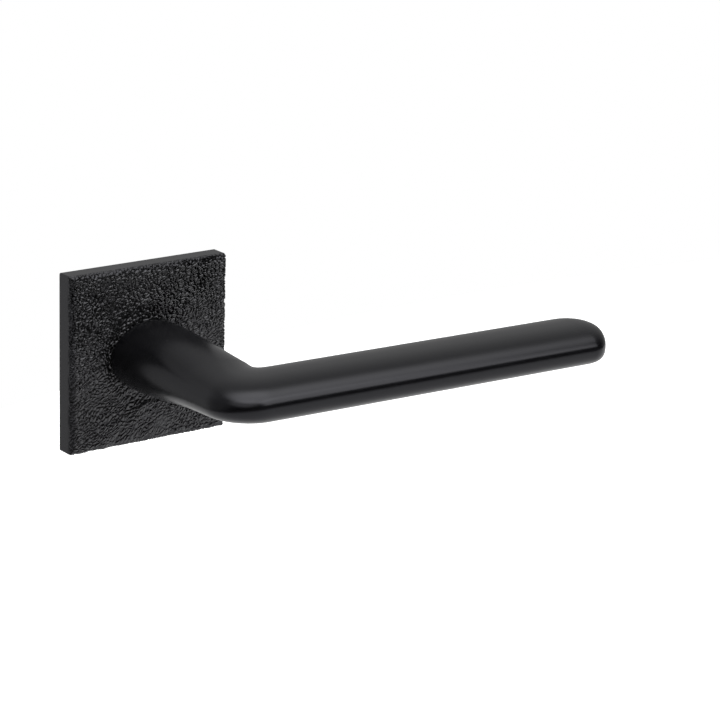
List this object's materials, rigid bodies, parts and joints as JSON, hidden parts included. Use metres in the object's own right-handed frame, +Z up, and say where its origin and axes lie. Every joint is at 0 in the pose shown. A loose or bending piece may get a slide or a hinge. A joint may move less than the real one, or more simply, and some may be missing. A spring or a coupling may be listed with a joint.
{
  "type": "door lever handle",
  "caption": "Black lever on a shallow square rose with a wrinkled face; a square spindle behind it draws the latch when the lever is pressed down, and a spring lifts it back.",
  "frame": {"origin": "on the spindle axis, in the plane of the door face that the rose lies on", "axes": "+Y along the spindle into the door, so the handle stands out towards -Y; +X along the lever at rest; +Z up"},
  "size_m": [0.1471, 0.1054, 0.052],
  "materials": {
    "satin_black": "satin black lacquer on a zinc casting",
    "wrinkled_black": "satin black lacquer over a cast wrinkled-leather relief",
    "zinc_casting": "bare zinc die casting",
    "plated_steel": "zinc plated",
    "spring_steel": "oiled spring steel",
    "sintered_steel": "sintered, fine grain",
    "white_nylon": "moulded",
    "foam": "closed-cell foam sheet"
  },
  "bodies": {
    "rose": {"rose_cover": "wrinkled_black", "rose_base": "zinc_casting", "door_gasket": "foam", "neck_bush": "white_nylon", "cover_clip_right": "spring_steel", "cover_clip_bottom": "spring_steel", "cover_clip_left": "spring_steel", "cover_clip_top": "spring_steel", "fixing_screw_upper": "plated_steel", "fixing_screw_lower": "plated_steel", "return_spring": "spring_steel", "housing_lid": "plated_steel", "lid_screw_1": "plated_steel", "lid_screw_2": "plated_steel", "lid_screw_3": "plated_steel"},
    "lever": {"lever_handle": "satin_black", "grub_screw": "spring_steel", "spring_driver": "sintered_steel", "thrust_washer": "spring_steel", "circlip": "spring_steel", "square_spindle": "plated_steel", "spindle_leaf": "spring_steel"}
  },
  "joints": [
    {"name": "lever_turn", "type": "hinge", "parent": "rose", "child": "lever", "pos_m": [0, 0, 0], "axis": [0, 1, 0], "range_deg": [0, 45], "stiffness_Nm_per_rad": 0.6, "springref_deg": -40.11, "deforming": ["return_spring"]}
  ]
}
